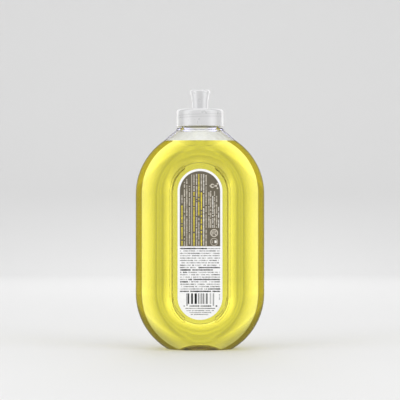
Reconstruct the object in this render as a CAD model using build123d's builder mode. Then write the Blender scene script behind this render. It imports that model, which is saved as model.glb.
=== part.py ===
from build123d import *
from math import cos, radians, sin, sqrt
import os

# A clear, ring-shaped plastic bottle of yellow floor cleaner with a screw cap and a push-pull nozzle.
# Millimetres, +Z up. The origin is the middle of the base, on the surface that the bottle stands on.
# X runs across the broad sides and Y through them: the back label faces -Y and the front label +Y.

# Body: a slab with fully rounded sides, as a stadium seen from the front
body_half_width = 58.2
body_depth = 46.4
body_straight = 89.9         # upright run between the two end arcs
base_cut = 7.9               # how far the flat base cuts into the lower end arc
wall = 0.8
heel_radius = 3.0

# Recessed panel on each broad side. The rounded rim falls to it ever more steeply, like a tube's side
panel_depth = 3.3
rim_radius = 14.0
rim_top_angle = 10           # degrees, where the rim leaves the body's broad face
rim_margin = 2.0             # from the rim to the body's rounded side
rim_blend = 12.0
panel_end_reach = 2.45       # how much further the panel's straight sides run than the body's, each way

# Labels on the panels, and the round channels along the sides of each panel's edge
label_side_margin = 6.13     # from the label's side to the panel's edge
label_thickness = 0.2
groove_margin = 0.6          # from the middle of the channel to the panel's edge
groove_radius = 1.0
groove_lift = 0.35           # how far the channel's centre stands off the panel
groove_end_turn = 55         # degrees, how far it follows the panel's round ends

# Push-up in the base
pushup_half_length = 23.5
pushup_half_width = 11.5
pushup_height = 6.5
pushup_edge_radius = 1.6

# Shoulder: ovals from inside the body's crown up to the round foot of the ledge
shoulder_top_drop = 0.6      # from the body's crown down to the foot of the ledge
shoulder_middle_drop = 4.8   # from the ledge's foot down to the middle oval
shoulder_foot_drop = 19.8    # from the ledge's foot down to the lowest oval
shoulder_side_reach = 6.1    # how far the middle oval stands out past the ledge at the sides
shoulder_front_reach = 0.6   # and over the broad faces
shoulder_side_sink = 1.9     # how far the lowest oval lies inside the body's sides
shoulder_front_sink = 1.2    # and inside its broad faces
shoulder_blend = 6.0
least_radius = 0.3

# Neck with its small ledge and its thread
ledge_radius = 21.3
ledge_height = 2.0
ledge_edge_radius = 1.4
neck_radius = 17.7
neck_height = 14.6
neck_edge_radius = 0.5
bore_radius = 15.3
thread_pitch = 4.23
thread_turns = 1.5
thread_depth = 1.2
thread_root_width = 1.9
thread_crest_width = 0.9
thread_start = 4.6           # from the ledge up to the middle of the thread's lower end
thread_root_sink = 0.3

# Contents
liquid_drop = 9.7            # from the ledge's foot down to the level
liquid_gap = 0.3

# Cap
cap_radius = 21.2
cap_lift_off = 1.5           # gap between the ledge and the cap's skirt
cap_height = 15.4
cap_edge_radius = 2.4
deck_thickness = 1.5
thread_clearance = 0.4
cap_thread_turns = 1.25
plug_length = 2.6
plug_wall = 1.0
plug_clearance = 0.3

# Seal ring under the deck
seal_thickness = 0.6
seal_inner_margin = 0.4      # outside the bore
seal_outer_margin = 0.6      # inside the cap's wall

# Spout post on the cap, with a pin that closes the nozzle
post_radius = 5.4
post_wall = 1.5
post_bead = 0.6
post_bead_height = 1.3
post_bead_chamfer = 0.3
post_bridge = 1.3
post_windows = 3
post_window_margin = 0.25    # between a window and both the post's bore and the pin
pin_radius = 1.5
pin_tip = 0.6                # how far the pin's tip stays below the nozzle's mouth

# Push-pull nozzle
nozzle_base_radius = 7.16
nozzle_waist_radius = 7.25
nozzle_mid_radius = 7.95
nozzle_lip_radius = 9.06
nozzle_mouth_radius = 8.1
nozzle_seat_gap = 0.3
nozzle_height = 17.4
nozzle_travel = 6.0
nozzle_bore_radius = 6.3
nozzle_bore_top_radius = 7.3
nozzle_ring_height = 1.2
nozzle_plate = 1.9
nozzle_slide_gap = 0.3
nozzle_plate_dish = 0.4
nozzle_dish_radius = 5.6
nozzle_height_shares = (0.31, 0.62, 0.9)   # waist, middle and lip, of the nozzle's height

# Print on the back label: columns on its dark upper panel, rows, a bar block and foot lines below.
# What runs across is a share of the label's half width, and what runs upwards one of its half height
print_thickness = 0.05
print_margin_share = 0.1024          # white border round the dark panel
panel_foot_share = 0.0267            # from the label's middle down to the lower edge of the dark panel
column_width_share = 0.0499
column_pitch_share = 0.1083
column_side_share = 0.1962           # from the label's side to the middle of the first column
column_foot_share = 0.0237           # from the dark panel's lower edge to the columns
light_column_slots = (1, 2, 3, 6, 9, 10)
light_column_drop_shares = (0.3693, 0.1839, 0.2432, 0.0801, 0.0875, 0.0949)
yellow_column_slots = (0, 5, 7, 8)
yellow_column_drop_shares = (0.4953, 0.31, 0.0801, 0.31)
rule_slot = 4
rule_width_share = 0.0175
rule_drop_share = 0.0727
side_column_width_share = 0.0549
side_column_pitch_share = 0.1258
side_column_side_share = 0.5642      # from the label's other side to the first of the short columns
side_column_foot_share = 0.2417
side_column_drop_shares = (0.3025, 0.347, 0.347, 0.4138)
icon_side_share = 0.3645
icon_drop_share = 0.2284
icon_size_share = 0.2097
ring_drop_shares = (0.8527, 0.9603)
ring_radius_share = 0.1698
ring_line_share = 0.025
row_count = 19
row_pitch_share = 0.0314
row_drop_share = 0.0564              # from the label's middle down to the first row
row_width_share = 0.0133
row_side_share = 0.1048
barcode_left_share = 0.3745
barcode_right_share = 0.3695
barcode_foot_share = 0.2076          # from the label's lower end
barcode_height_share = 0.1424
barcode_pattern_shares = (1, 1, 3, 2, 1, 2, 2, 1, 1, 3, 1, 1, 2, 1, 1, 2, 3, 1, 1, 1, 2, 1, 1, 2, 1, 1, 2, 1, 1)
foot_line_rise_shares = (0.1483, 0.1216, 0.0949, 0.0682)
foot_line_side_shares = (0.2546, 0.3395, 0.4543, 0.5991)
foot_line_width_share = 0.0104

overrun = 2.0                # how far cutters run past what they cut

# Places that follow from the sizes above
body_middle = body_half_width + body_straight / 2 - base_cut
lower_arc = body_middle - body_straight / 2
upper_arc = body_middle + body_straight / 2
crest_place = body_half_width - body_depth / 2
panel_plane = body_depth / 2 - panel_depth
panel_straight = body_straight + 2 * panel_end_reach
rim_centre_depth = body_depth / 2 - rim_radius * cos(radians(rim_top_angle))
rim_centre_place = crest_place - rim_margin + rim_radius * sin(radians(rim_top_angle))


def rim_place(depth, inset):
    """How far out the rim's arc, moved inwards by inset, stands at a depth from the bottle's middle."""
    return rim_centre_place - sqrt((rim_radius - inset) ** 2 - (depth - rim_centre_depth) ** 2)


panel_half_width = rim_place(panel_plane, 0)
label_half_width = panel_half_width - label_side_margin
label_half_height = panel_straight / 2 + label_half_width
groove_half_width = panel_half_width - groove_margin
shoulder_top = upper_arc + body_half_width - shoulder_top_drop
shoulder_middle = shoulder_top - shoulder_middle_drop
shoulder_foot = shoulder_top - shoulder_foot_drop
liquid_level = shoulder_top - liquid_drop
ledge_top = shoulder_top + ledge_height
neck_top = ledge_top + neck_height
cap_bottom = ledge_top + cap_lift_off
deck_top = cap_bottom + cap_height
deck_bottom = deck_top - deck_thickness
thread_radius = neck_radius + thread_depth
cap_inner_radius = thread_radius + thread_clearance
nozzle_bottom = deck_top + nozzle_seat_gap
nozzle_top = nozzle_bottom + nozzle_height
nozzle_plate_bottom = nozzle_top - nozzle_plate
nozzle_ring_radius = post_radius + nozzle_slide_gap
nozzle_orifice_radius = pin_radius + nozzle_slide_gap
post_height = nozzle_seat_gap + nozzle_ring_height + nozzle_travel + nozzle_slide_gap + post_bead_height
post_top = deck_top + post_height
pin_top = nozzle_top - nozzle_plate_dish - pin_tip

back_plane = Plane(origin=(0, -panel_plane, body_middle), x_dir=(1, 0, 0), z_dir=(0, -1, 0))
front_plane = Plane(origin=(0, panel_plane, body_middle), x_dir=(-1, 0, 0), z_dir=(0, 1, 0))


def half_section(inset):
    """The right half of the slab's level section, before its panels, moved inwards by inset."""
    half_depth = body_depth / 2 - inset
    with BuildSketch() as section:
        with BuildLine():
            face = Line((0, half_depth), (crest_place, half_depth))
            side = JernArc(face @ 1, (1, 0), half_depth, -180)
            back_face = Line(side @ 1, (0, -half_depth))
            Line(back_face @ 1, face @ 0)
        make_face()
    return section.sketch


def panel_cutter(inset):
    """What the panel on the -Y side takes out of the slab, grown by inset."""
    floor = panel_plane - inset
    face = body_depth / 2 - inset
    top_place = rim_place(face, inset)
    middle_depth = (floor + face) / 2
    with BuildSketch() as section:
        with BuildLine():
            flat = Line((0, -floor), (rim_place(floor, inset), -floor))
            rim = ThreePointArc(flat @ 1, (rim_place(middle_depth, inset), -middle_depth), (top_place, -face))
            Polyline(rim @ 1, (top_place, -face - overrun), (0, -face - overrun), flat @ 0)
        make_face()
    with BuildPart() as cutter:
        with BuildSketch(Plane.XY.offset(body_middle - panel_straight / 2)):
            add(section.sketch)
        revolve(axis=Axis((0, 0, body_middle - panel_straight / 2), (0, 1, 0)), revolution_arc=180)
        with BuildSketch(Plane.XY.offset(body_middle + panel_straight / 2)):
            add(section.sketch)
        revolve(axis=Axis((0, 0, body_middle + panel_straight / 2), (0, -1, 0)), revolution_arc=180)
        with BuildSketch(Plane.XY.offset(body_middle - panel_straight / 2)):
            add(section.sketch)
            mirror(about=Plane.YZ)
        extrude(amount=panel_straight)
    return cutter.part


def side_bars(plane, radius, tube_radius, lift):
    """Round bars along both sides of a stadium outline on the plane, standing off it by lift. They follow
    the outline's round ends for a way and end in half balls."""
    with BuildPart() as bars:
        with BuildLine(plane.offset(lift)) as route:
            foot_turn = CenterArc((0, -panel_straight / 2), radius, -groove_end_turn, groove_end_turn)
            Line(foot_turn @ 1, (radius, panel_straight / 2))
            top_turn = CenterArc((0, panel_straight / 2), radius, 0, groove_end_turn)
        with BuildSketch(Plane(origin=foot_turn @ 0, z_dir=foot_turn % 0)):
            Circle(tube_radius)
        sweep(path=route.wire())
        with Locations(foot_turn @ 0, top_turn @ 1):
            Sphere(tube_radius)
        mirror(about=Plane.YZ)
    return bars.part


def pushup_form(inset):
    """The rounded hump that the base is pushed up by, grown by inset."""
    arc_radius = (pushup_half_length**2 + pushup_height**2) / (2 * pushup_height)
    axis_drop = (pushup_half_width**2 - pushup_height**2) / (2 * pushup_height)
    with BuildPart() as hump:
        with BuildSketch(Plane.XZ):
            with Locations((0, pushup_height - arc_radius)):
                Circle(arc_radius + inset)
            with Locations((0, -axis_drop)):
                Rectangle(4 * arc_radius, 4 * arc_radius, align=(Align.CENTER, Align.MAX), mode=Mode.SUBTRACT)
        revolve(axis=Axis((0, 0, -axis_drop), (1, 0, 0)))
    return hump.part


def crown_half_width(height):
    """Half the body's width at a height above the middle of its upper arc."""
    return sqrt(body_half_width**2 - (height - upper_arc) ** 2)


def crown_half_depth(height):
    """Half the body's depth there, on its middle line."""
    return sqrt((body_depth / 2) ** 2 - (height - upper_arc - crest_place) ** 2)


def body_form(inset, pushup):
    """The body with its shoulder, moved inwards by inset: the outer face at zero, the inner at the wall."""
    half = half_section(inset)
    channels = [side_bars(p, groove_half_width, groove_radius + inset, groove_lift)
                for p in (back_plane, front_plane)]
    cutter = panel_cutter(inset)
    with BuildPart() as form:
        with BuildSketch(Plane.XY.offset(lower_arc)):
            add(half)
        revolve(axis=Axis((0, 0, lower_arc), (0, 1, 0)), revolution_arc=180)
        with BuildSketch(Plane.XY.offset(upper_arc)):
            add(half)
        revolve(axis=Axis((0, 0, upper_arc), (0, -1, 0)), revolution_arc=180)
        with BuildSketch(Plane.XY.offset(lower_arc)):
            add(half)
            mirror(about=Plane.YZ)
        extrude(amount=body_straight)
        slab_edges = form.edges()
        add(cutter, mode=Mode.SUBTRACT)
        add(mirror(cutter, about=Plane.XZ, mode=Mode.PRIVATE), mode=Mode.SUBTRACT)
        rim_edges = (form.edges() - slab_edges).filter_by(
            lambda edge: abs(abs(edge.center().Y) - body_depth / 2 + inset) < least_radius)
        fillet(rim_edges, rim_blend - inset)
        split(bisect_by=Plane.XY.offset(inset), keep=Keep.TOP)
        base = form.faces().filter_by(GeomType.PLANE).sort_by(Axis.Z)[0]
        fillet(base.outer_wire().edges(), max(heel_radius - inset, least_radius))
        plain_edges = form.edges()
        with BuildSketch(Plane.XY.offset(shoulder_foot)):
            Ellipse(crown_half_width(shoulder_foot) - shoulder_side_sink - inset,
                    crown_half_depth(shoulder_foot) - shoulder_front_sink - inset)
        with BuildSketch(Plane.XY.offset(shoulder_middle)):
            Ellipse(ledge_radius + shoulder_side_reach - inset,
                    ledge_radius + shoulder_front_reach - inset)
        with BuildSketch(Plane.XY.offset(shoulder_top)):
            Circle(ledge_radius - inset)
        loft()
        creases = form.edges() - plain_edges
        fillet(creases.filter_by(lambda edge: edge.center().Z < shoulder_middle), shoulder_blend + inset)
        for channel in channels:
            add(channel, mode=Mode.SUBTRACT)
        add(pushup, mode=Mode.SUBTRACT)
        base = form.faces().filter_by(GeomType.PLANE).sort_by(Axis.Z)[0]
        fillet(base.inner_wires()[0].edges(), max(pushup_edge_radius - inset, least_radius))
    return form.part


def thread(radius, depth, turns, start):
    """A helical ridge that stands outwards from the radius by depth, or inwards where depth is below 0."""
    sink = -thread_root_sink if depth > 0 else thread_root_sink
    root, crest = thread_root_width / 2, thread_crest_width / 2
    with BuildPart() as ridge:
        with BuildLine() as route:
            Helix(thread_pitch, turns * thread_pitch, radius, center=(0, 0, start))
        with BuildSketch(Plane(origin=(radius, 0, start), x_dir=(1, 0, 0), z_dir=(0, 1, 0))):
            with BuildLine():
                Polyline((sink, -root), (depth, -crest), (depth, crest), (sink, root), close=True)
            make_face()
        sweep(path=route.wire(), is_frenet=True)
    return ridge.part


# Bottle
outer_form = body_form(0, pushup_form(0))
inner_form = body_form(wall, pushup_form(wall))
neck_thread = thread(neck_radius, thread_depth, thread_turns, ledge_top + thread_start)

with BuildPart() as bottle:
    add(outer_form)
    with BuildSketch(Plane.XY.offset(shoulder_top)):
        Circle(ledge_radius)
    extrude(amount=ledge_height)
    fillet(bottle.faces().sort_by(Axis.Z)[-1].edges(), ledge_edge_radius)
    with BuildSketch(Plane.XY.offset(ledge_top)):
        Circle(neck_radius)
    extrude(amount=neck_height)
    fillet(bottle.faces().sort_by(Axis.Z)[-1].edges(), neck_edge_radius)
    add(neck_thread)
    add(inner_form, mode=Mode.SUBTRACT)
    with BuildSketch(Plane.XY.offset(shoulder_top - overrun)):
        Circle(bore_radius)
    extrude(amount=ledge_height + neck_height + 2 * overrun, mode=Mode.SUBTRACT)
bottle.part.label = "bottle"

# Contents
liquid_form = body_form(wall + liquid_gap, pushup_form(wall + liquid_gap))

with BuildPart() as liquid_fill:
    add(liquid_form)
    split(bisect_by=Plane.XY.offset(liquid_level), keep=Keep.BOTTOM)
liquid_fill.part.label = "liquid_fill"

# Cap: skirt, deck, plug ring, spout post with its bridge and pin
cap_thread_start = ledge_top + thread_start + thread_pitch / 2
cap_thread = thread(cap_inner_radius, -thread_depth, cap_thread_turns, cap_thread_start)

with BuildPart() as cap:
    with BuildSketch(Plane.XY.offset(cap_bottom)):
        Circle(cap_radius)
    extrude(amount=cap_height)
    fillet(cap.faces().sort_by(Axis.Z)[-1].edges(), cap_edge_radius)
    with BuildSketch(Plane.XY.offset(cap_bottom - overrun)):
        Circle(cap_inner_radius)
    extrude(amount=cap_height - deck_thickness + overrun, mode=Mode.SUBTRACT)
    add(cap_thread)
    plug_radius = bore_radius - plug_clearance
    with BuildSketch(Plane.XY.offset(deck_bottom)):
        Circle(plug_radius)
        Circle(plug_radius - plug_wall, mode=Mode.SUBTRACT)
    extrude(amount=-plug_length - (deck_bottom - neck_top))
    with BuildSketch(Plane.XY.offset(deck_top)):
        Circle(post_radius)
    extrude(amount=post_height)
    with BuildSketch(Plane.XY.offset(post_top - post_bead_height)):
        Circle(post_radius + post_bead)
    extrude(amount=post_bead_height)
    chamfer(cap.faces().sort_by(Axis.Z)[-1].edges(), post_bead_chamfer)
    with BuildSketch(Plane.XY.offset(deck_bottom - overrun)):
        Circle(post_radius - post_wall)
    extrude(amount=post_top - post_bridge - deck_bottom + overrun, mode=Mode.SUBTRACT)
    with BuildSketch(Plane.XY.offset(post_top - post_bridge - overrun)):
        with PolarLocations((post_radius - post_wall + pin_radius) / 2, post_windows):
            Circle((post_radius - post_wall - pin_radius) / 2 - post_window_margin)
    extrude(amount=post_bridge + 2 * overrun, mode=Mode.SUBTRACT)
    with BuildSketch(Plane.XY.offset(post_top - post_bridge)):
        Circle(pin_radius)
    extrude(amount=pin_top - post_top + post_bridge)
cap.part.label = "cap"

# Seal ring
with BuildPart() as neck_seal:
    with BuildSketch(Plane.XY.offset(deck_bottom)):
        Circle(cap_inner_radius - seal_outer_margin)
        Circle(bore_radius + seal_inner_margin, mode=Mode.SUBTRACT)
    extrude(amount=-seal_thickness)
neck_seal.part.label = "neck_seal"

# Nozzle: one turned profile
waist_height, mid_height, lip_height = (nozzle_bottom + s * nozzle_height for s in nozzle_height_shares)

with BuildPart() as nozzle:
    with BuildSketch(Plane.XZ):
        with BuildLine():
            shank = Line((nozzle_base_radius, nozzle_bottom), (nozzle_waist_radius, waist_height))
            flare = ThreePointArc(shank @ 1, (nozzle_mid_radius, mid_height), (nozzle_lip_radius, lip_height))
            lip = TangentArc(flare @ 1, (nozzle_mouth_radius, nozzle_top), tangent=(0, 1))
            rim = Line(lip @ 1, (nozzle_dish_radius, nozzle_top))
            dish = Line(rim @ 1, (nozzle_dish_radius - nozzle_plate_dish, nozzle_top - nozzle_plate_dish))
            plate = Line(dish @ 1, (nozzle_orifice_radius, nozzle_top - nozzle_plate_dish))
            mouth = Line(plate @ 1, (nozzle_orifice_radius, nozzle_plate_bottom))
            ceiling = Line(mouth @ 1, (nozzle_bore_top_radius, nozzle_plate_bottom))
            cone = Line(ceiling @ 1, (nozzle_bore_radius, waist_height))
            bore = Line(cone @ 1, (nozzle_bore_radius, nozzle_bottom + nozzle_ring_height))
            step = Line(bore @ 1, (nozzle_ring_radius, nozzle_bottom + nozzle_ring_height))
            ring_wall = Line(step @ 1, (nozzle_ring_radius, nozzle_bottom))
            Line(ring_wall @ 1, shank @ 0)
        make_face()
    revolve(axis=Axis.Z)
nozzle.part.label = "nozzle"


# Labels
def label_plate(plane):
    """A thin stadium plate that lies on the plane."""
    with BuildPart() as plate_part:
        with BuildSketch(plane):
            SlotCenterToCenter(panel_straight, 2 * label_half_width, rotation=90)
        extrude(amount=label_thickness)
    return plate_part


back_label = label_plate(back_plane)
back_label.part.label = "back_label"
front_label = label_plate(front_plane)
front_label.part.label = "front_label"

# Print on the back label: a dark panel, and bars for the lines of text on it and under it
on_label = back_plane.offset(label_thickness)
on_panel = back_plane.offset(label_thickness + print_thickness)


def across(share):
    """A length across the label, from its share of the half width."""
    return share * label_half_width


def upwards(share):
    """A length up the label, from its share of the half height."""
    return share * label_half_height


panel_foot = -upwards(panel_foot_share)

with BuildPart() as print_panel:
    with BuildSketch(on_label):
        SlotCenterToCenter(panel_straight, 2 * (label_half_width - across(print_margin_share)), rotation=90)
        with Locations((0, panel_foot)):
            Rectangle(4 * label_half_width, 2 * panel_straight, align=(Align.CENTER, Align.MAX),
                      mode=Mode.SUBTRACT)
    extrude(amount=print_thickness)
print_panel.part.label = "print_panel"


def upright_bar(place, top, foot, width):
    """One upright bar of the sketch in hand, from foot to top."""
    with Locations((place, (top + foot) / 2)):
        Rectangle(width, top - foot)


def column(slot, drop, width):
    """One full column of the dark panel, whose top lies the drop below the label's upper end."""
    place = across(column_side_share) - label_half_width + slot * across(column_pitch_share)
    upright_bar(place, label_half_height - drop, panel_foot + upwards(column_foot_share), width)


icon_place = label_half_width - across(icon_side_share)

with BuildPart() as print_light:
    with BuildSketch(on_panel):
        for slot, share in zip(light_column_slots, light_column_drop_shares):
            column(slot, upwards(share), across(column_width_share))
        column(rule_slot, upwards(rule_drop_share), across(rule_width_share))
        for index, share in enumerate(side_column_drop_shares):
            place = label_half_width - across(side_column_side_share) + index * across(side_column_pitch_share)
            upright_bar(place, label_half_height - upwards(share), panel_foot + upwards(side_column_foot_share),
                        across(side_column_width_share))
        with Locations((icon_place, label_half_height - upwards(icon_drop_share))):
            RegularPolygon(across(icon_size_share) / 2, 6)
            Circle(across(icon_size_share) / 4, mode=Mode.SUBTRACT)
        for share in ring_drop_shares:
            with Locations((icon_place, label_half_height - upwards(share))):
                Circle(across(ring_radius_share))
                Circle(across(ring_radius_share - ring_line_share), mode=Mode.SUBTRACT)
    extrude(amount=print_thickness)
print_light.part.label = "print_light"

with BuildPart() as print_yellow:
    with BuildSketch(on_panel):
        for slot, share in zip(yellow_column_slots, yellow_column_drop_shares):
            column(slot, upwards(share), across(column_width_share))
    extrude(amount=print_thickness)
print_yellow.part.label = "print_yellow"

with BuildPart() as print_rows:
    with BuildSketch(on_label):
        for index in range(row_count):
            with Locations((0, -upwards(row_drop_share) - index * upwards(row_pitch_share))):
                Rectangle(2 * (label_half_width - across(row_side_share)), upwards(row_width_share))
        for rise, side in zip(foot_line_rise_shares, foot_line_side_shares):
            with Locations((0, upwards(rise) - label_half_height)):
                Rectangle(2 * (label_half_width - across(side)), upwards(foot_line_width_share))
    extrude(amount=print_thickness)
print_rows.part.label = "print_rows"

with BuildPart() as print_barcode:
    barcode_left = across(barcode_left_share) - label_half_width
    barcode_foot = upwards(barcode_foot_share) - label_half_height
    barcode_width = label_half_width - across(barcode_right_share) - barcode_left
    bar_unit = barcode_width / sum(barcode_pattern_shares)
    with BuildSketch(on_label):
        done = 0
        for index, share in enumerate(barcode_pattern_shares):
            if index % 2 == 0:
                upright_bar(barcode_left + (done + share / 2) * bar_unit,
                            barcode_foot + upwards(barcode_height_share), barcode_foot, share * bar_unit)
            done += share
    extrude(amount=print_thickness)
print_barcode.part.label = "print_barcode"

pieces = (bottle, liquid_fill, cap, neck_seal, nozzle, back_label, front_label, print_panel, print_light,
          print_yellow, print_rows, print_barcode)
os.makedirs("parts", exist_ok=True)
for piece in pieces:
    export_step(piece.part, f"parts/{piece.part.label}.step")
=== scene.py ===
# %% [markdown]
# # A bottle of floor cleaner, dressed in Blender
#
# The frame is a finished CAD model: a clear ring-shaped bottle, its yellow contents, a screw cap and a
# push-pull nozzle. This lesson gives each piece its looks, adds the small print that the solids leave out,
# and lights the bottle the way clear plastic is lit in a studio, from behind and from both sides.
# Everything is in metres, in the frame's own place: +Z is up and the back label faces -Y.

from math import radians

import bmesh
import bpy
import numpy as np
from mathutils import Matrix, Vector


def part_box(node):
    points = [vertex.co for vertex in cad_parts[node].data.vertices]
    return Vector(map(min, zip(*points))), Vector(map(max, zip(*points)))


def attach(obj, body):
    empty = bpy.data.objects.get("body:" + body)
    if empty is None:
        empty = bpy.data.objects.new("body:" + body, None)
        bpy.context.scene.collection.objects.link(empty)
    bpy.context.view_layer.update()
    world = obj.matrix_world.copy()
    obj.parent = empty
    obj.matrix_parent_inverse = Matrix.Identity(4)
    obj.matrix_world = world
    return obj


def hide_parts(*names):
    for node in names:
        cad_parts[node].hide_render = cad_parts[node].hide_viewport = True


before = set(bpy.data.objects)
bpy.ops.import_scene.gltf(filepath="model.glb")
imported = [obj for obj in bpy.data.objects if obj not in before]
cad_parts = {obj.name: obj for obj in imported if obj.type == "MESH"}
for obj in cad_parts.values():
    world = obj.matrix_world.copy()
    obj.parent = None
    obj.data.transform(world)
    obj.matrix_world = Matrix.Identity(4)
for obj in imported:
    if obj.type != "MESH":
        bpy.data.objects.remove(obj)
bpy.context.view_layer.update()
MM = 0.001
print("frame loaded:", len(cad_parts), "nodes")

# %% [markdown]
# ## Sizes that come from the frame
#
# A piece that is placed by the frame can't drift away from it. The boxes of the nodes give the liquid's
# level, the label's middle and the planes that the print lies on. Only sizes that no box can tell are
# written as numbers.

# %% Places read from the nodes
liquid_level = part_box("liquid_fill")[1].z
label_low, label_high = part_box("back_label")
label_middle = (label_low.z + label_high.z) / 2
label_face = label_low.y
panel_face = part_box("print_panel")[0].y
print(f"label face at y {label_face / MM:.2f} mm, liquid level at z {liquid_level / MM:.1f} mm")

# %% [markdown]
# ## Helpers for materials
#
# Blender's Principled shader covers plastic, paper and ink, so a material is one line that names what it is
# made of and sets its numbers straight on the shader. Nothing real is quite even, and a second helper lets
# noise vary a finish. A few small ones make the nodes that several materials and the lights share.

# %% Helpers for shader nodes
def feed(tree, socket, value):
    """Links the socket to an output, or sets it where the value is a plain number or colour."""
    if isinstance(value, bpy.types.NodeSocket):
        tree.links.new(value, socket)
    else:
        socket.default_value = value


def worked_out(tree, operation, first, second=0.0, kind="ShaderNodeMath"):
    """What a maths node makes of two outputs or numbers."""
    node = tree.nodes.new(kind)
    node.operation = operation
    feed(tree, node.inputs[0], first)
    feed(tree, node.inputs[1], second)
    return node.outputs[0]


def tinted(tree, colour, share):
    """A colour multiplied by a share or by another colour."""
    return worked_out(tree, "MULTIPLY", colour, share, kind="ShaderNodeVectorMath")


def carried(tree, value, before, after=(0.0, 1.0), shape="LINEAR"):
    """A value carried from one (start, end) range to another, and held at the ends."""
    node = tree.nodes.new("ShaderNodeMapRange")
    node.interpolation_type = shape
    for socket, number in zip(("From Min", "From Max", "To Min", "To Max"), (*before, *after)):
        node.inputs[socket].default_value = number
    tree.links.new(value, node.inputs["Value"])
    return node.outputs["Result"]


def ramp_over(tree, share, levels):
    """A colour ramp over the share, with a stop for each (place, colour) pair."""
    ramp = tree.nodes.new("ShaderNodeValToRGB")
    stops = ramp.color_ramp.elements
    while len(stops) < len(levels):
        stops.new(0.5)
    for stop, (place, colour) in zip(stops, levels):
        stop.position = place
        stop.color = (*colour, 1)
    tree.links.new(share, ramp.inputs[0])
    return ramp.outputs[0]


def mixed(tree, share, first, second):
    """Two shaders mixed: only the first where the share is 0, only the second where it is 1."""
    mix = tree.nodes.new("ShaderNodeMixShader")
    for socket, source in zip(mix.inputs, (share, first, second)):
        tree.links.new(source, socket)
    return mix.outputs[0]


# %% Helpers for finishes
def finish(name, colour, roughness, **inputs):
    """A material of one Principled shader, with the numbers set on its own sockets."""
    material = bpy.data.materials.new(name)
    material.use_nodes = True
    shader = material.node_tree.nodes["Principled BSDF"]
    shader.inputs["Base Color"].default_value = (*colour, 1)
    shader.inputs["Roughness"].default_value = roughness
    for socket, value in inputs.items():
        shader.inputs[socket.replace("_", " ")].default_value = value
    return material


noise_range = (0.3, 0.7)
noise_detail = 3.0


def mottle(material, colour, roughness, grain, spread, relief=0.0, tone=0.0):
    """Lets noise in object space vary a material: its roughness, its relief and its tone.

    Grain and relief are in millimetres; spread and tone are the most that roughness and colour vary.
    """
    tree = material.node_tree
    shader = tree.nodes["Principled BSDF"]
    coordinate = tree.nodes.new("ShaderNodeTexCoord")
    noise = tree.nodes.new("ShaderNodeTexNoise")
    noise.inputs["Scale"].default_value = 1 / (grain * MM)
    noise.inputs["Detail"].default_value = noise_detail
    tree.links.new(coordinate.outputs["Object"], noise.inputs["Vector"])
    rough = carried(tree, noise.outputs[0], noise_range, (roughness - spread, roughness + spread))
    tree.links.new(rough, shader.inputs["Roughness"])
    if relief:
        bump = tree.nodes.new("ShaderNodeBump")
        bump.inputs["Distance"].default_value = relief * MM
        tree.links.new(noise.outputs[0], bump.inputs["Height"])
        tree.links.new(bump.outputs["Normal"], shader.inputs["Normal"])
    if tone:
        shade = carried(tree, noise.outputs[0], noise_range, (1.0 - tone, 1.0 + tone))
        tree.links.new(tinted(tree, colour, shade), shader.inputs["Base Color"])
    return material


def dress(piece, material):
    """Gives the piece one material."""
    piece.data.materials.clear()
    piece.data.materials.append(material)


# %% Helpers for new objects
def new_object(name, data):
    """An object for a mesh, a lamp or a camera, linked into the scene."""
    thing = bpy.data.objects.new(name, data)
    bpy.context.collection.objects.link(thing)
    return thing


def mesh_of(form, name):
    """The mesh of a bmesh, which is freed."""
    mesh = bpy.data.meshes.new(name)
    form.to_mesh(mesh)
    form.free()
    return mesh


# %% [markdown]
# ## Clear plastic and yellow liquid
#
# The shell is clear blow-moulded plastic and the contents are a thin yellow liquid. Glass shaders bend the
# light, and the colour of the liquid comes from a volume that swallows blue, so thick places look deeper
# than thin ones, as in a real bottle. The blown wall is never quite even, so its roughness varies a little.

# %% The shell's and the liquid's materials
def let_light_through(material, share):
    """Lets this share of shadow and diffuse rays pass straight through, so that what is behind is lit."""
    tree = material.node_tree
    rays = tree.nodes.new("ShaderNodeLightPath")
    passing = worked_out(tree, "MAXIMUM", rays.outputs["Is Shadow Ray"], rays.outputs["Is Diffuse Ray"])
    clear = tree.nodes.new("ShaderNodeBsdfTransparent")
    clear.inputs["Color"].default_value = (share, share, share, 1)
    surface = mixed(tree, passing, tree.nodes["Principled BSDF"].outputs[0], clear.outputs[0])
    tree.links.new(surface, tree.nodes["Material Output"].inputs["Surface"])


plastic_bend, water_bend = 1.48, 1.34
shell_roughness = 0.02
liquid_density = 69.0
shell_clear = finish("clear plastic", (0.985, 0.99, 0.99), shell_roughness, IOR=plastic_bend,
                     Transmission_Weight=1.0)
mottle(shell_clear, None, shell_roughness, grain=12, spread=0.012)
let_light_through(shell_clear, 0.93)

liquid_yellow = finish("yellow liquid", (1, 1, 1), 0.0, IOR=water_bend, Transmission_Weight=1.0)
let_light_through(liquid_yellow, 0.97)
liquid_tree = liquid_yellow.node_tree
absorption = liquid_tree.nodes.new("ShaderNodeVolumeAbsorption")
absorption.inputs["Color"].default_value = (0.923, 0.891, 0.057, 1)
absorption.inputs["Density"].default_value = liquid_density
output = liquid_tree.nodes["Material Output"]
liquid_tree.links.new(absorption.outputs["Volume"], output.inputs["Volume"])
dress(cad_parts["bottle"], shell_clear)
print("clear plastic bends light by", plastic_bend, "and the liquid by", water_bend)

# %% [markdown]
# ## The contents
#
# In the frame the liquid stops just short of the wall, and a gap of air there would mirror like silver. So
# the liquid is copied and grown into the middle of the wall, which a renderer takes as plastic and liquid
# that touch. Scaling the copy would move it unevenly, so each point goes outwards along its own normal. The
# flat top stays at its level, and the node's true normals are kept, because bends in them would show.

# %% A grown copy of a node
merge_step = 0.004 * MM
straight_up = 0.99
tiny = 1e-9


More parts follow.
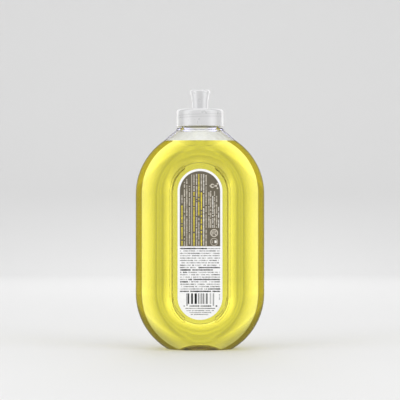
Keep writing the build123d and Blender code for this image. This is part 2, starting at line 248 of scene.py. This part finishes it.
def merged_triangles(source):
    """A node's loose triangles as shared points, with three point numbers and normals for each."""
    places = np.empty(len(source.vertices) * 3)
    source.vertices.foreach_get("co", places)
    places = places.reshape(-1, 3)
    loose = np.empty(len(source.loops), dtype=int)
    source.loops.foreach_get("vertex_index", loose)
    normals = np.array([corner.vector for corner in source.corner_normals]).reshape(-1, 3, 3)
    _, first, same = np.unique(np.round(places / merge_step).astype(int), axis=0,
                               return_index=True, return_inverse=True)
    joined = same.ravel()[loose].reshape(-1, 3)
    a, b, c = joined.T
    whole = (a != b) & (b != c) & (c != a)
    return places[first], joined[whole], normals[whole]


def grown_copy(node, name, growth, flat_above):
    """A copy of a CAD node as one closed mesh, moved outwards, but not upwards on its flat top."""
    points, joined, normals = merged_triangles(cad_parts[node].data)
    on_top = points[:, 2] > flat_above
    facing_up = normals[:, :, 2] > straight_up
    outwards = np.zeros_like(points)
    for corner in range(3):
        sideways = ~(on_top[joined[:, corner]] & facing_up[:, corner])
        np.add.at(outwards, joined[sideways, corner], normals[sideways, corner])
    outwards[on_top, 2] = 0
    outwards /= np.linalg.norm(outwards, axis=1, keepdims=True) + tiny
    mesh = bpy.data.meshes.new(name)
    mesh.from_pydata((points + outwards * growth).tolist(), [], joined.tolist())
    mesh.shade_smooth()
    mesh.normals_split_custom_set(normals.reshape(-1, 3).tolist())
    return new_object(name, mesh)


# %% The contents, grown into the middle of the wall
liquid_overlap = 0.7 * MM
level_slack = 0.01 * MM
liquid = grown_copy("liquid_fill", "liquid", liquid_overlap, liquid_level - level_slack)
dress(liquid, liquid_yellow)
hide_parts("liquid_fill")
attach(liquid, "bottle")
print("liquid:", len(liquid.data.polygons), "faces")

# %% [markdown]
# ## Cap, nozzle and seal
#
# These are natural polypropylene and polyethylene, milky and a little see-through. Light runs along inside
# such a wall, so where the view skims the wall's edge it is nearly white, a little further in it is dimmer,
# and in the middle the darker post behind shows through. Real scattering inside thin walls is slow to
# render and noisy, so this light and shade is painted: the colour follows the angle of the view, by a Layer
# Weight node and a ramp, and the edges get a painted glow.
# The thread inside the skirt shows through as two faint lines of painted shade that climb as they go round.
# The seal is white foam with a fine grain.

# %% Painted shade where the thread shows through the cap
thread_pitch = 4.2 * MM
thread_edges = (211.6 * MM, 209.5 * MM)
painted_thread_shade_width = 0.8 * MM
painted_thread_shade_depth = 0.86


def painted_thread_shade(tree, colour):
    """Paints shade: darkens a colour a little along the two edges of the thread inside the cap's wall."""
    coordinate = tree.nodes.new("ShaderNodeTexCoord")
    place = tree.nodes.new("ShaderNodeSeparateXYZ")
    tree.links.new(coordinate.outputs["Object"], place.inputs[0])
    front = worked_out(tree, "MULTIPLY", place.outputs["Y"], -1.0)
    turn = worked_out(tree, "ARCTAN2", place.outputs["X"], front)
    climbed = worked_out(tree, "MULTIPLY", turn, thread_pitch / radians(360))
    level = worked_out(tree, "SUBTRACT", place.outputs["Z"], climbed)
    for edge in thread_edges:
        off_edge = worked_out(tree, "ABSOLUTE", worked_out(tree, "SUBTRACT", level, edge))
        line = carried(tree, off_edge, (0.0, painted_thread_shade_width), (painted_thread_shade_depth, 1.0), "SMOOTHSTEP")
        colour = tinted(tree, colour, line)
    return colour


# %% Milky plastics, with painted light and shade by the angle of the view
milky_colour, milky_roughness, milky_bend = (0.86, 0.86, 0.87), 0.3, 1.49
milky_clear_share = 0.12
milky_blue = 1.01
painted_glow_turns = (0.55, 0.85)
painted_edge_glow_strength = 0.25


def milky(name, levels, threaded):
    """A milky plastic with painted light and shade. Levels are (how far the face turns from the view,
    brightness) pairs, and the edges get a painted glow.
    """
    material = finish(name, milky_colour, milky_roughness, Transmission_Weight=milky_clear_share,
                      IOR=milky_bend)
    tree = material.node_tree
    shader = tree.nodes["Principled BSDF"]
    turned = tree.nodes.new("ShaderNodeLayerWeight")
    turned.inputs["Blend"].default_value = 0.5
    painted_light_by_angle = ramp_over(tree, turned.outputs["Facing"],
                     [(turn, (level, level, min(1, level * milky_blue))) for turn, level in levels])
    tree.links.new(painted_thread_shade(tree, painted_light_by_angle) if threaded else painted_light_by_angle, shader.inputs["Base Color"])
    mottle(material, None, milky_roughness, grain=5, spread=0.04)
    # Painted glow: the edges emit their own colour, standing in for light carried inside the wall.
    tree.links.new(painted_light_by_angle, shader.inputs["Emission Color"])
    glow = carried(tree, turned.outputs["Facing"], painted_glow_turns, (0.0, painted_edge_glow_strength))
    tree.links.new(glow, shader.inputs["Emission Strength"])
    return material


# Painted light and shade: the brightness of the colour by how far the face turns from the view.
cap_levels = [(0.0, 0.69), (0.05, 0.71), (0.13, 0.83), (0.22, 0.8), (0.34, 0.66), (0.5, 0.68), (0.7, 0.98)]
nozzle_levels = [(0.0, 0.66), (0.05, 0.7), (0.12, 0.86), (0.26, 0.84), (0.4, 0.68), (0.62, 0.99)]
cap_milky = milky("milky cap plastic", cap_levels, threaded=True)
nozzle_milky = milky("milky nozzle plastic", nozzle_levels, threaded=False)
dress(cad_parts["cap"], cap_milky)
dress(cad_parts["nozzle"], nozzle_milky)
print("cap and nozzle:", len(cap_levels), "and", len(nozzle_levels), "levels of brightness by angle")

# %% The foam of the seal
foam_colour, foam_roughness, foam_grain = (0.85, 0.85, 0.84), 0.8, 0.4
foam_white = finish("white foam", foam_colour, foam_roughness)
mottle(foam_white, foam_colour, foam_roughness, foam_grain, spread=0.1, relief=0.05, tone=0.05)
dress(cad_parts["neck_seal"], foam_white)
print("seal: foam with a grain of", foam_grain, "mm")

# %% [markdown]
# ## Label film and inks
#
# The label is smooth white film with a very slight orange-peel relief. The inks are flat and rough, and
# fine printing is never quite even, so a small noise varies their tone. An image could carry the same
# unevenness, but noise in object space needs no file and stays fine however near the camera comes.

# %% Label film and inks
ink_roughness = 0.5


def ink(name, colour):
    """Flat ink on film: rough, a little uneven in tone as fine printing is."""
    plain = finish(name, colour, ink_roughness)
    return mottle(plain, colour, ink_roughness, grain=0.5, spread=0.06, tone=0.05)


film_colour, film_roughness = (0.9, 0.9, 0.9), 0.4
label_film = finish("white label film", film_colour, film_roughness)
mottle(label_film, film_colour, film_roughness, grain=2.5, spread=0.07, relief=0.004, tone=0.012)
ink_taupe = ink("taupe ink", (0.142, 0.122, 0.085))
ink_cream = ink("cream ink", (0.62, 0.57, 0.48))
ink_white = ink("white ink", (0.85, 0.82, 0.76))
ink_yellow = ink("yellow ink", (0.8, 0.66, 0.03))
ink_grey = ink("grey ink", (0.13, 0.13, 0.13))
ink_black = ink("black ink", (0.012, 0.012, 0.015))
dress(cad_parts["back_label"], label_film)
dress(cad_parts["front_label"], label_film)
dress(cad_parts["print_panel"], ink_taupe)
print("label film on both labels, six inks mixed")

# %% [markdown]
# ## Small print as rows of little blocks
#
# At this size the printed text is only a texture of short marks. A Geometry Nodes tree makes it: each line
# of text is one edge of a base mesh, the tree drops points along it at a letter pitch, leaves some out as
# word gaps, and puts a flat block of random length on each. The blocks spell nothing. The upright lines on
# the dark panel read from its foot upwards, and the rows under it run across.

# %% The tree for a line of small print
tree_inputs = (("Lines", "Geometry"), ("Pitch", "Float"), ("Height", "Float"), ("Thickness", "Float"),
               ("Kept share", "Float"), ("Shortest share", "Float"), ("Seed", "Int"), ("Ink", "Material"))
lowest_letter = 0.65


def small_print_tree():
    """Geometry Nodes that turn edges into rows of flat blocks of random length."""
    tree = bpy.data.node_groups.new("small print", "GeometryNodeTree")
    names = {}
    for name, kind in tree_inputs:
        socket = tree.interface.new_socket(name, in_out="INPUT", socket_type="NodeSocket" + kind)
        names[name] = socket.identifier
    tree.interface.new_socket("Print", in_out="OUTPUT", socket_type="NodeSocketGeometry")
    new = tree.nodes.new
    given, result = new("NodeGroupInput"), new("NodeGroupOutput")
    curve = new("GeometryNodeMeshToCurve")
    points = new("GeometryNodeCurveToPoints")
    points.mode = "LENGTH"
    keep = new("FunctionNodeRandomValue")
    keep.data_type = "BOOLEAN"
    chosen = new("GeometryNodeSeparateGeometry")
    chosen.domain = "POINT"
    along = new("FunctionNodeAlignRotationToVector")
    along.axis = "X"
    along.pivot_axis = "Y"
    size = new("ShaderNodeCombineXYZ")
    block = new("GeometryNodeMeshCube")
    least = new("ShaderNodeCombineXYZ")
    least.inputs["Y"].default_value = 1.0
    least.inputs["Z"].default_value = lowest_letter
    stretch = new("FunctionNodeRandomValue")
    stretch.data_type = "FLOAT_VECTOR"
    place = new("GeometryNodeInstanceOnPoints")
    real = new("GeometryNodeRealizeInstances")
    inked = new("GeometryNodeSetMaterial")
    stretch_least, stretch_most = [socket for socket in stretch.inputs if socket.type == "VECTOR"][:2]
    stretch_most.default_value = (1.0, 1.0, 1.0)
    stretched = next(socket for socket in stretch.outputs if socket.type == "VECTOR")
    kept = next(socket for socket in keep.outputs if socket.type == "BOOLEAN")
    for start, end in ((given.outputs["Lines"], curve.inputs["Mesh"]),
                       (curve.outputs["Curve"], points.inputs["Curve"]),
                       (given.outputs["Pitch"], points.inputs["Length"]),
                       (given.outputs["Kept share"], keep.inputs["Probability"]),
                       (given.outputs["Seed"], keep.inputs["Seed"]),
                       (given.outputs["Seed"], stretch.inputs["Seed"]),
                       (points.outputs["Points"], chosen.inputs["Geometry"]),
                       (kept, chosen.inputs["Selection"]),
                       (points.outputs["Tangent"], along.inputs["Vector"]),
                       (given.outputs["Pitch"], size.inputs["X"]),
                       (given.outputs["Thickness"], size.inputs["Y"]),
                       (given.outputs["Height"], size.inputs["Z"]),
                       (size.outputs[0], block.inputs["Size"]),
                       (given.outputs["Shortest share"], least.inputs["X"]),
                       (least.outputs[0], stretch_least),
                       (stretched, place.inputs["Scale"]),
                       (chosen.outputs["Selection"], place.inputs["Points"]),
                       (block.outputs["Mesh"], place.inputs["Instance"]),
                       (along.outputs["Rotation"], place.inputs["Rotation"]),
                       (place.outputs["Instances"], real.inputs["Geometry"]),
                       (real.outputs["Geometry"], inked.inputs["Geometry"]),
                       (given.outputs["Ink"], inked.inputs["Material"]),
                       (inked.outputs["Geometry"], result.inputs[0])):
        tree.links.new(start, end)
    return tree, names


print_tree, print_inputs = small_print_tree()
print("small print tree:", len(print_tree.nodes), "nodes")

# %% A helper that runs the tree and keeps its plain mesh
print_thickness = 0.05 * MM


def small_print(name, lines, face, material, pitch, height, seed, kept=0.9, shortest=0.45):
    """Rows of blocks along the lines, which are (x, z, x, z) from the label's middle.

    Lines, pitch and height are in millimetres. Kept is the share of blocks that stay, and the shortest
    block is this share of the pitch.
    """
    half_block = pitch / 2 * MM
    ends = []
    for x1, z1, x2, z2 in lines:
        first, last = Vector((x1, 0, z1)) * MM, Vector((x2, 0, z2)) * MM
        inwards = (last - first).normalized() * half_block
        for end in (first + inwards, last - inwards):
            ends.append((end.x, face - print_thickness / 2, end.z + label_middle))
    mesh = bpy.data.meshes.new(name)
    mesh.from_pydata(ends, [(n, n + 1) for n in range(0, len(ends), 2)], [])
    piece = new_object(name, mesh)
    maker = piece.modifiers.new("small print", "NODES")
    maker.node_group = print_tree
    for socket, value in (("Pitch", pitch * MM), ("Height", height * MM), ("Thickness", print_thickness),
                          ("Kept share", kept), ("Shortest share", shortest), ("Seed", seed),
                          ("Ink", material)):
        maker[print_inputs[socket]] = value
    made = piece.evaluated_get(bpy.context.evaluated_depsgraph_get())
    piece.data = bpy.data.meshes.new_from_object(made)
    piece.modifiers.remove(maker)
    dress(piece, material)
    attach(piece, "bottle")
    print(name, len(piece.data.polygons), "faces")
    return piece


# %% Upright lines on the dark panel, as (across, top, foot) in millimetres
panel_foot = -1.3
short_foot = 14.8
cream_columns = [(-16.07, 44.1, 35.3), (-13.84, 55.7, panel_foot), (-11.79, 58.3, panel_foot),
                 (-9.38, 52.2, panel_foot), (-5.36, 62.2, 47.5), (-3.04, 62.8, panel_foot),
                 (-1.07, 24.8, panel_foot), (1.25, 62.7, 47.9), (5.45, 61.8, panel_foot),
                 (7.95, 47.7, short_foot), (9.55, 47.7, short_foot),
                 (12.95, 47.7, short_foot), (14.82, 43.2, short_foot)]
white_columns = [(3.3, 62.7, panel_foot), (11.43, 43.2, short_foot), (16.6, 33.4, short_foot)]
yellow_columns = [(-16.07, 34.6, panel_foot), (-5.36, 46.7, panel_foot), (-1.07, 62.8, 25.7),
                  (1.25, 46.2, panel_foot)]


def upright_lines(columns):
    """Lines from the foot of each column up to its top."""
    return [(x, foot, x, top) for x, top, foot in columns]


cream_print = small_print("cream_print", upright_lines(cream_columns), panel_face, ink_cream,
                          pitch=1.1, height=1.15, seed=3)
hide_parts("print_light")
small_print("white_print", upright_lines(white_columns), panel_face, ink_white,
            pitch=1.2, height=1.0, kept=0.93, seed=5)
yellow_print = small_print("yellow_print", upright_lines(yellow_columns), panel_face, ink_yellow,
                           pitch=1.1, height=1.25, kept=0.93, shortest=0.55, seed=8)
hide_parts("print_yellow")

# %% Rows on the white part, some stretches of them bold, as shares of the row
row_left, row_right = -17.8, 17.9
first_row, row_pitch, row_count = -3.8, 2.122, 19
whole_row = (0, 1)
plain_stretches = {0: (0.7, 1), 8: (0, 0.42), 9: None, 10: (0.21, 1), 13: (0, 0.18), 14: (0.22, 1),
                   17: (0, 0.68), 18: None}
bold_stretches = {0: (0, 0.68), 8: (0.46, 1), 9: (0, 0.82), 10: (0, 0.18), 13: (0.2, 1), 14: (0, 0.2),
                  17: (0.7, 1), 18: whole_row}


def row_line(row, stretch):
    """The part of a row that the stretch tells."""
    height = first_row - row * row_pitch
    left, right = (row_left + share * (row_right - row_left) for share in stretch)
    return left, height, right, height


plain_parts = [(row, plain_stretches.get(row, whole_row)) for row in range(row_count)]
plain_rows = [row_line(row, stretch) for row, stretch in plain_parts if stretch]
side_line = [(17.4, -49.7, 17.4, -43.4)]
grey_print = small_print("grey_print", plain_rows + side_line, label_face, ink_grey,
                         pitch=0.95, height=1.0, kept=0.88, shortest=0.35, seed=11)
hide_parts("print_rows")
bold_rows = [row_line(row, stretch) for row, stretch in bold_stretches.items()]

# %% The foot of the label
foot_lines = [(-13.0, -57.2, -1.6, -57.2), (-12.0, -59.2, -0.4, -59.2), (-9.5, -60.9, 9.9, -60.9),
              (-8.1, -62.6, 7.4, -62.6)]
bold_foot = [(-1.6, -57.2, 13.5, -57.2), (-0.4, -59.2, 12.5, -59.2)]
small_print("foot_print", foot_lines, label_face, ink_grey,
            pitch=0.9, height=0.8, kept=0.92, seed=13)
small_print("bold_print", bold_rows, label_face, ink_black,
            pitch=1.15, height=1.3, kept=0.96, shortest=0.7, seed=17)
small_print("bold_foot_print", bold_foot, label_face, ink_black,
            pitch=1.0, height=0.8, kept=0.93, shortest=0.6, seed=19)

# %% [markdown]
# ## Bars, rings and the small icon
#
# The bar block, the thin rule and the round marks are flat shapes, as thick as the print. Curves or text
# could make them too, but a box or a ring is quicker as a few faces in mesh code, and it is closed from the
# start. The marks are generic: two rings, a few short strokes and a little sign of rings and boxes.

# %% Helpers for flat shapes on the label
ring_steps = 40


def add_box(form, left, right, foot, top, front, back):
    """A flat closed box, from four sides in millimetres from the label's middle."""
    corners = ((left, foot), (right, foot), (right, top), (left, top))
    near, far = ([form.verts.new((x * MM, depth, label_middle + z * MM)) for x, z in corners]
                 for depth in (front, back))
    form.faces.new(near)
    form.faces.new(far[::-1])
    for n in range(4):
        form.faces.new((near[n], far[n], far[(n + 1) % 4], near[(n + 1) % 4]))


def add_ring(form, x, z, outer, inner, front, back):
    """A flat closed ring, from its middle and two radii in millimetres."""
    turns = [radians(360) * n / ring_steps for n in range(ring_steps)]
    loops = []
    for radius, depth in ((outer, front), (inner, front), (inner, back), (outer, back)):
        loops.append([form.verts.new(((x + radius * np.cos(turn)) * MM, depth,
                                      label_middle + (z + radius * np.sin(turn)) * MM)) for turn in turns])
    for first, second in zip(loops, loops[1:] + loops[:1]):
        for n in range(ring_steps):
            after = (n + 1) % ring_steps
            form.faces.new((first[n], first[after], second[after], second[n]))


def flat_marks(name, boxes, rings, face, material):
    """One piece of boxes (left, right, foot, top) and rings (x, z, outer, inner)."""
    form = bmesh.new()
    for box in boxes:
        add_box(form, *box, face - print_thickness, face)
    for ring in rings:
        add_ring(form, *ring, face - print_thickness, face)
    bmesh.ops.recalc_face_normals(form, faces=form.faces)
    piece = new_object(name, mesh_of(form, name))
    dress(piece, material)
    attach(piece, "bottle")
    print(name, len(piece.data.polygons), "faces")
    return piece


# %% The marks on the dark panel
rule = [(-7.65, -7.15, panel_foot, 62.2)]
icon_boxes = [(11.9, 15.2, 51.4, 53.0), (8.4, 9.4, 51.8, 52.5)]
icon_rings = [(11.0, 52.2, 1.9, 0.9), (15.6, 54.1, 0.75, 0.05), (15.6, 50.1, 0.75, 0.05)]
round_marks = [(12.6, 10.1, 3.5, 2.7), (12.6, 2.2, 3.45, 3.0)]
inner_marks = [(10.5, 11.3, 8.6, 11.6), (12.1, 12.9, 8.9, 12.4), (13.5, 14.5, 8.0, 9.6),
               (13.6, 14.5, 10.4, 12.0), (10.4, 11.6, 2.6, 3.2), (10.4, 11.6, 1.2, 1.8)]
white_block = [(12.9, 14.9, 1.1, 3.5)]
flat_marks("cream_marks", rule + icon_boxes + inner_marks, icon_rings + round_marks, panel_face, ink_cream)
flat_marks("white_mark", white_block, [], panel_face, ink_white)

# %% The bar block and the digits' places under it
bar_top, bar_foot, guard_foot = -43.8, -53.2, -55.0
guard_bars = [(-12.1, -11.75), (-11.4, -11.1), (11.5, 11.8), (12.15, 12.5)]
plain_bars = [(-10.8, -9.6), (-7.9, -6.3), (-4.8, -2.8), (-1.4, -0.65), (0.5, 0.8), (1.1, 1.4), (1.75, 2.1),
              (2.9, 3.6), (4.4, 4.6), (5.6, 6.7), (8.9, 9.15), (9.55, 9.8)]
bars = [(left, right, foot, bar_top) for group, foot in ((guard_bars, guard_foot), (plain_bars, bar_foot))
        for left, right in group]
bar_block = flat_marks("bar_block", bars, [], label_face, ink_black)
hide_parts("print_barcode")
digit_level = -55.1
digit_stretches = [(-14.8, -13.4), (-9.5, -0.7), (0.4, 9.9), (14.0, 15.4)]
digit_lines = [(left, digit_level, right, digit_level) for left, right in digit_stretches]
small_print("digit_print", digit_lines, label_face, ink_black,
            pitch=1.4, height=1.35, kept=1.0, shortest=0.55, seed=23)

# %% [markdown]
# ## Floor and backdrop
#
# The bottle stands on a plain pale floor that curves up into the backdrop, so no line shows behind it. One
# section line, repeated at both ends of the sweep, makes the whole strip. Clear pieces don't see it: what
# shows through them is the card that the next step makes.

# %% The sweep
sweep_half_width = 3.0
sweep_front, sweep_back = -3.0, 1.9
sweep_curve = 0.6
sweep_height = 3.0
curve_steps = 24
backdrop_colour, backdrop_roughness = (0.8, 0.8, 0.8), 0.9


def sweep_section():
    """The sweep's section in the YZ plane, from the front edge of the floor up to the backdrop's top."""
    points = [(sweep_front, 0.0)]
    for step in range(curve_steps + 1):
        angle = radians(90) * step / curve_steps
        points.append((sweep_back - sweep_curve + sweep_curve * np.sin(angle),
                       sweep_curve - sweep_curve * np.cos(angle)))
    points.append((sweep_back, sweep_height))
    return points


section = sweep_section()
section_ends = [(side * sweep_half_width, y, z) for side in (-1, 1) for y, z in section]
strips = [(n, n + len(section), n + len(section) + 1, n + 1) for n in range(len(section) - 1)]
sweep_mesh = bpy.data.meshes.new("sweep")
sweep_mesh.from_pydata(section_ends, [], strips)
sweep_mesh.shade_smooth()
sweep = new_object("sweep", sweep_mesh)
sweep.data.materials.append(finish("pale backdrop", backdrop_colour, backdrop_roughness))
sweep.visible_transmission = False
sweep.visible_glossy = False
print("sweep:", len(strips), "strips")

# %% [markdown]
# ## The card behind the bottle
#
# Clear things are lit by what stands behind them and what they mirror. In a studio that is a set of cards,
# and Blender's ray visibility lets each card do one job. A large card far behind the bottle is seen only
# through clear plastic and liquid. It has the bottle's own stadium shape: its levels are given by how far
# a ray lands outside a short upright line, told as an angle seen from the bottle. The middle is a little
# dim, a broad ring round it is bright and a little blue, and outside that it is dark. The rounded sides
# bend the view most, so they end in a dark yellow line, just as the tube's crest is deeper than its sides.
#
# Three more layers finish the fit to the photograph. The card's brightness changes from its foot to its
# top, a brighter strip stands on both sides of the line, and the two upper corners are dimmer, because the
# outer sides of the bottle's lower arcs bend the view up to them.

# %% What the card shows
card_distance = 2.5
card_height = 0.0224
half_line = 0.134

# Near levels are (degrees off the line, colour) pairs, with the upright part made less by the flattening.
# Far levels are the same at true angles, and multiply the near ones.
flattening = 0.6
near_levels = [(0.0, (0.84, 0.84, 0.82)), (1.8, (0.82, 0.82, 0.78)), (2.4, (0.77, 0.77, 0.71)),
               (3.5, (0.74, 0.73, 0.68)), (4.4, (0.87, 0.86, 0.86)), (6.0, (1.04, 1.03, 1.1)),
               (8.0, (1.18, 1.16, 1.4)), (11.0, (1.36, 1.34, 1.8)), (14.0, (1.47, 1.45, 2.15)),
               (20.0, (1.5, 1.48, 2.35)), (24.8, (1.52, 1.5, 2.45))]
far_levels = [(0.0, (1, 1, 1)), (25.2, (1, 1, 1)), (26.4, (0.4, 0.345, 0.05)), (75.0, (0.38, 0.33, 0.05))]

# Upright levels are (metres over the floor, share) pairs, and the strip's are (degrees, share) pairs. The
# strip ends with the line. The corners' pairs are where the dimming starts and where it is full, in metres
# from the card's middle.
upright_levels = [(-1.2, 1.2), (-0.3, 1.2), (-0.25, 1.32), (-0.18, 1.32), (-0.08, 1.0), (0.14, 1.0),
                  (0.22, 1.12), (0.245, 1.22), (0.29, 1.22), (0.34, 1.08), (0.5, 0.97), (1.2, 0.9)]
strip_levels = [(0.0, 0.0), (0.9, 0.2), (1.25, 1.0), (1.85, 1.0), (2.1, 0.0), (75.0, 0.0)]
strip_gain = 0.26
strip_fade = (0.05, 0.0)
corner_across, corner_up = (-0.05, 0.5), (0.05, 0.65)
corner_loss = 0.5

card_tangent = np.tan(radians(far_levels[-1][0]))
card_radius = card_distance * card_tangent
brightest = max(max(colour) for _, colour in near_levels)
brightest_upright = max(level for _, level in upright_levels)
print(f"the card is {card_radius:.1f} m in radius, brightest level {brightest}")


# %% Layers of light on the card
def grey(levels):
    """(Place, brightness) pairs as (place, colour) pairs."""
    return [(place, (level, level, level)) for place, level in levels]


def ring_light(tree, across, upright, levels, scale=1.0):
    """Levels told in degrees off the line, as a ramp over the card's radius.

    The colours are shares of the scale, because a ramp's own colours stop at one.
    """
    offset = tree.nodes.new("ShaderNodeCombineXYZ")
    tree.links.new(across, offset.inputs["X"])
    feed(tree, offset.inputs["Y"], upright)
    length = tree.nodes.new("ShaderNodeVectorMath")
    length.operation = "LENGTH"
    tree.links.new(offset.outputs[0], length.inputs[0])
    stops = [(np.tan(radians(angle)) / card_tangent, [value / scale for value in colour])
             for angle, colour in levels]
    return ramp_over(tree, worked_out(tree, "DIVIDE", length.outputs["Value"], card_radius), stops)


def upright_light(tree, height):
    """Levels told in metres over the floor, as a ramp from the lowest place to the highest."""
    lowest, highest = upright_levels[0][0], upright_levels[-1][0]
    reach = highest - lowest
    over_lowest = worked_out(tree, "SUBTRACT", height, lowest - card_height)
    stops = [((place - lowest) / reach, level / brightest_upright) for place, level in upright_levels]
    return ramp_over(tree, worked_out(tree, "DIVIDE", over_lowest, reach), grey(stops))


def one_plus(tree, share, gain):
    """A share times a gain, and one."""
    return worked_out(tree, "ADD", worked_out(tree, "MULTIPLY", share, gain), 1.0)


def card_material():
    """A glow made of the card's layers, multiplied."""
    material = bpy.data.materials.new("back card")
    material.use_nodes = True
    tree = material.node_tree
    tree.nodes.clear()
    coordinate = tree.nodes.new("ShaderNodeTexCoord")
    place = tree.nodes.new("ShaderNodeSeparateXYZ")
    tree.links.new(coordinate.outputs["Object"], place.inputs[0])
    x, y = place.outputs["X"], place.outputs["Y"]
    across = worked_out(tree, "ABSOLUTE", x)
    past_line = worked_out(tree, "SUBTRACT", worked_out(tree, "ABSOLUTE", y), half_line)
    past_line = worked_out(tree, "MAXIMUM", past_line, 0.0)

    flattened = worked_out(tree, "MULTIPLY", past_line, flattening)
    near = ring_light(tree, x, flattened, near_levels, brightest)
    far = ring_light(tree, x, past_line, far_levels)
    colour = tinted(tree, tinted(tree, near, far), upright_light(tree, y))

    strip = ring_light(tree, across, 0.0, grey(strip_levels))
    beside = worked_out(tree, "MULTIPLY", strip, carried(tree, past_line, strip_fade))
    in_corner = worked_out(tree, "MULTIPLY", carried(tree, across, corner_across),
                           carried(tree, y, corner_up))
    share = worked_out(tree, "MULTIPLY", one_plus(tree, beside, strip_gain),
                       one_plus(tree, in_corner, -corner_loss))
    glow = tree.nodes.new("ShaderNodeEmission")
    tree.links.new(colour, glow.inputs["Color"])
    strength = worked_out(tree, "MULTIPLY", share, brightest * brightest_upright)
    tree.links.new(strength, glow.inputs["Strength"])
    surface = tree.nodes.new("ShaderNodeOutputMaterial")
    tree.links.new(glow.outputs[0], surface.inputs["Surface"])
    return material


# %% The card, a disc that faces the bottle
disc_corners = 96
disc_form = bmesh.new()
bmesh.ops.create_circle(disc_form, cap_ends=True, segments=disc_corners, radius=card_radius)
card = new_object("back_card", mesh_of(disc_form, "back_card"))
card.location = (0, card_distance, card_height)
card.rotation_euler = (radians(90), 0, 0)
card.data.materials.append(card_material())
for kind in ("camera", "diffuse", "glossy", "shadow", "volume_scatter"):
    setattr(card, "visible_" + kind, False)
print("card material:", len(card.active_material.node_tree.nodes), "nodes")

# %% [markdown]
# ## Lamps and studio
#
# Three soft boxes light the label, the cap and the floor: one from each side in front and one from behind.
# Nothing mirrors them, because sharp lamp shapes on the clear plastic would be unlike the photograph. The
# world stands for the white room. It is bright where it lights the scene, a little dimmer where it is seen
# through clear pieces, and dim where they mirror it.

# %% The lamps
lamp_radiance = 1.9
lamp_distance = 1.2
aim_height = 0.11
lamps = [("left box", -60, 0.6, 0.9, 1.1), ("right box", 60, 0.6, 0.9, 1.1), ("back box", 180, 0.9, 0.9, 0.9)]
for name, azimuth, height, width, tall in lamps:
    lamp = bpy.data.lights.new(name, "AREA")
    lamp.shape = "RECTANGLE"
    lamp.size = width
    lamp.size_y = tall
    lamp.energy = lamp_radiance * np.pi * width * tall
    box = new_object(name, lamp)
    turn = radians(azimuth)
    box.location = (lamp_distance * np.sin(turn), -lamp_distance * np.cos(turn), height)
    aim = Vector((0, 0, aim_height)) - box.location
    box.rotation_euler = aim.to_track_quat("-Z", "Y").to_euler()
    for kind in ("camera", "glossy", "transmission"):
        setattr(box, "visible_" + kind, False)
print("lamps:", len(lamps))

# %% The white room round it
lighting_strength, seen_through_strength, mirrored_strength = 0.8, 0.62, 0.2
world = bpy.data.worlds.new("studio")
world.use_nodes = True
room = world.node_tree
room.nodes.clear()


def white_room(strength):
    """Plain white light from all round."""
    node = room.nodes.new("ShaderNodeBackground")
    node.inputs["Color"].default_value = (1, 1, 1, 1)
    node.inputs["Strength"].default_value = strength
    return node.outputs[0]


rays = room.nodes.new("ShaderNodeLightPath")
through = rays.outputs["Is Transmission Ray"]
only_mirrored = worked_out(room, "SUBTRACT", rays.outputs["Is Glossy Ray"], through)
only_mirrored.node.use_clamp = True
unmirrored = mixed(room, through, white_room(lighting_strength), white_room(seen_through_strength))
all_round = mixed(room, only_mirrored, unmirrored, white_room(mirrored_strength))
room.links.new(all_round, room.nodes.new("ShaderNodeOutputWorld").inputs["Surface"])
bpy.context.scene.world = world
print("white room:", len(room.nodes), "nodes")

# %% [markdown]
# ## Camera
#
# The picture looks level at the middle of the bottle from a fair way off, with the back label to the front.
# A long lens keeps the sides of the bottle upright. Clear pieces stand in a row behind each other, so light
# may bend more often than Blender allows at first.

# %% The camera and the bends of light
camera_distance, camera_height = 1.359, 0.1348
lens = bpy.data.cameras.new("camera")
lens.sensor_width = 36
lens.lens = 135
camera = new_object("camera", lens)
camera.location = (0, -camera_distance, camera_height)
camera.rotation_euler = (radians(90), 0, 0)
scene = bpy.context.scene
scene.camera = camera
scene.view_settings.view_transform = "Standard"
most_bends = 32
scene.cycles.max_bounces = most_bends
scene.cycles.transmission_bounces = most_bends
scene.cycles.transparent_max_bounces = most_bends
print("camera", camera_distance, "m in front, lens", lens.lens, "mm")
